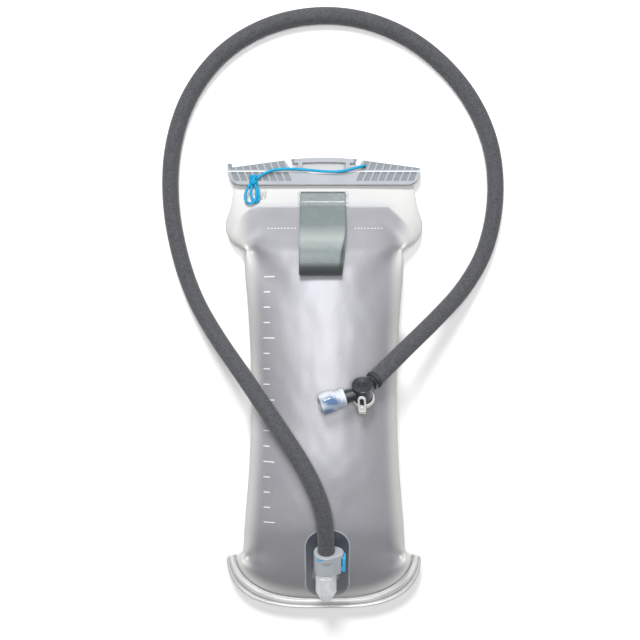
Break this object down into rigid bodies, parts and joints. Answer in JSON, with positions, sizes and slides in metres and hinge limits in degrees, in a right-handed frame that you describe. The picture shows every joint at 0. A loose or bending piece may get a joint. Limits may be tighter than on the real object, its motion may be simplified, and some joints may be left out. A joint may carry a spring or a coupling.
{
  "type": "hydration bladder",
  "caption": "Soft insulated drink reservoir with a slide seal across its mouth, a hang strap, a tether, a plug-in hose and a shut-off bite valve.",
  "frame": {"origin": "bottom centre of the box of the bag with its seal, without the hose and the tether; the bag lies on its back at Z 0", "axes": "+X across the bag, +Y from the bottom weld to the mouth, +Z out of the bag's front"},
  "size_m": [0.2748, 0.4816, 0.0867],
  "materials": {
    "outer_film": "frosted",
    "foam": "matte",
    "liner": "gloss",
    "clear_plastic": "gloss",
    "webbing": "woven",
    "tether_blue": "braided",
    "port_patch": "satin",
    "spring_steel": "bright",
    "seal_grey": "satin",
    "white_plastic": "satin",
    "seal_rubber": "matte",
    "hose_sleeve": "knitted",
    "tube": "gloss",
    "collar_grey": "satin",
    "valve_black": "satin",
    "button_blue": "satin",
    "clear_silicone": "gloss"
  },
  "bodies": {
    "bag": {"front_film": "outer_film", "back_film": "outer_film", "front_foam": "foam", "back_foam": "foam", "front_liner": "liner", "back_liner": "liner", "mouth_bead_front": "clear_plastic", "mouth_bead_back": "clear_plastic", "strap_patch": "clear_plastic", "strap_tail": "webbing", "tether_eyelet": "clear_plastic", "tether_loop": "tether_blue", "tether_knot": "tether_blue", "tether_cord": "tether_blue", "port_patch": "port_patch", "port_flange": "clear_plastic", "port_body": "clear_plastic", "port_spring": "spring_steel"},
    "slider": {"slide_seal": "seal_grey", "tether_stopper": "tether_blue"},
    "strap": {"hang_strap": "webbing"},
    "poppet": {"port_poppet": "white_plastic", "poppet_seal": "seal_rubber"},
    "hose": {"hose_cover": "hose_sleeve", "drink_tube": "tube", "plug_collar": "collar_grey", "plug_mark": "button_blue", "plug_nose": "collar_grey", "plug_seals": "seal_rubber", "button_spring": "spring_steel", "barb_adapter": "valve_black", "valve_housing": "valve_black", "valve_neck": "valve_black", "neck_seal": "seal_rubber"},
    "button": {"release_button": "button_blue"},
    "lever": {"shutoff_lever": "white_plastic", "valve_spool": "valve_black", "valve_cap": "valve_black", "spool_seals": "seal_rubber"},
    "bite": {"mouthpiece": "clear_silicone"}
  },
  "joints": [
    {"name": "seal_slide", "type": "slide", "parent": "bag", "child": "slider", "axis": [-1, 0, 0], "range_m": [0, 0.038]},
    {"name": "strap_flip", "type": "hinge", "parent": "bag", "child": "strap", "pos_m": [-0.0009, 0.1384, 0.0209], "axis": [-1, 0, 0], "range_deg": [0, 100]},
    {"name": "plug_slide", "type": "slide", "parent": "bag", "child": "hose", "axis": [0, 0.9063, 0.4226], "range_m": [0, 0.02]},
    {"name": "poppet_slide", "type": "slide", "parent": "bag", "child": "poppet", "axis": [0, 0.9063, 0.4226], "range_m": [0, 0.0084], "deforming": ["port_spring"]},
    {"name": "button_press", "type": "slide", "parent": "hose", "child": "button", "axis": [-1, 0, 0], "range_m": [0, 0.0018], "stiffness_N_per_m": 400, "deforming": ["button_spring"]},
    {"name": "lever_turn", "type": "hinge", "parent": "hose", "child": "lever", "pos_m": [0.0286, -0.0034, 0.0732], "axis": [-0.09, 0.6668, 0.7398], "range_deg": [0, 90]},
    {"name": "bite_swivel", "type": "hinge", "parent": "hose", "child": "bite", "pos_m": [0.01517, -0.00752, 0.07528], "axis": [-0.9457, -0.2902, 0.1466], "continuous": true}
  ],
  "couplings": [
    {"joint": "poppet_slide", "follows": "plug_slide", "ratio": 0.42}
  ]
}
